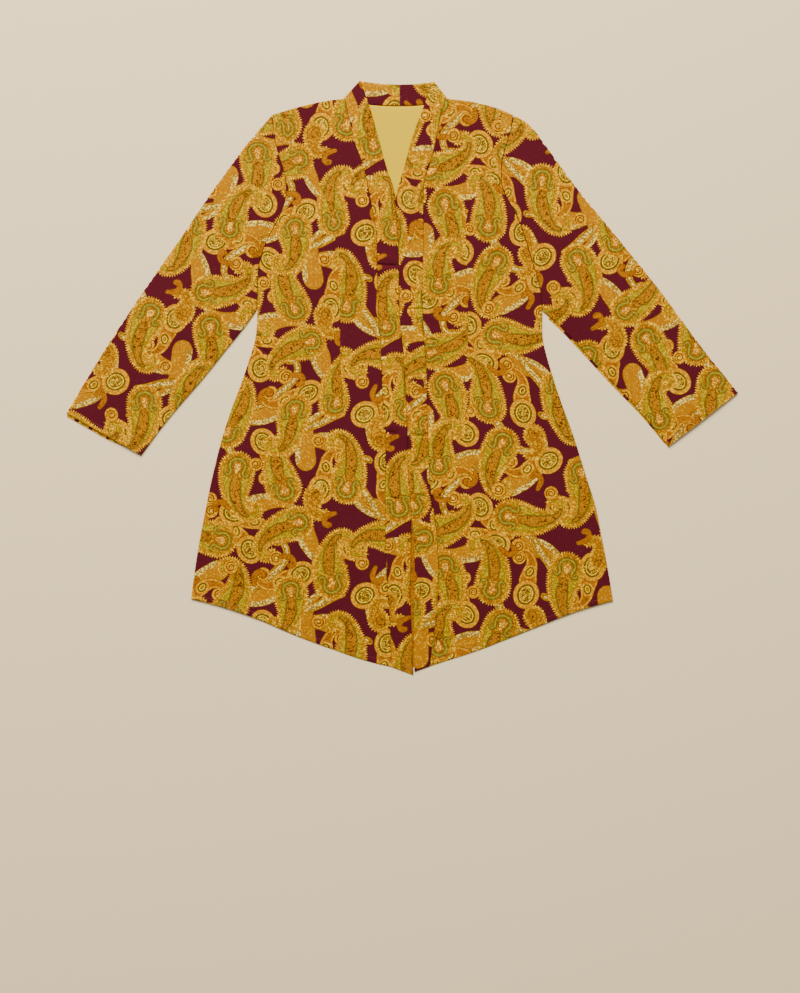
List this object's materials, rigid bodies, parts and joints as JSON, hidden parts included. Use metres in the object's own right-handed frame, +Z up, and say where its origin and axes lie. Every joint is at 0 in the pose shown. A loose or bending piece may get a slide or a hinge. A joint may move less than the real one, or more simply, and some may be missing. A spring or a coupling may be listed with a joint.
{
  "type": "kebaya blouse",
  "caption": "Long-sleeved kebaya blouse laid flat with its front up: stand collar running into lapped front bands, shaped waist, flared skirt part with pointed front hem.",
  "frame": {"origin": "centre of the outline on the floor that the blouse lies on", "axes": "+Z up out of the front, +Y towards the collar, +X towards the wearer's left sleeve"},
  "size_m": [1.074, 0.9512, 0.0073],
  "materials": {
    "printed_satin": "satin weave printed with paisley in gold, orange and olive on burgundy",
    "printed_satin_band": "the same printed satin, cut double",
    "lining": "plain yellow lining, soft sheen"
  },
  "bodies": {
    "root": {"back": "printed_satin", "back_lining": "lining", "front_right": "printed_satin", "front_left": "printed_satin", "collar_band_right": "printed_satin_band", "collar_band_left": "printed_satin_band", "sleeve_right": "printed_satin", "sleeve_left": "printed_satin"}
  },
  "joints": []
}
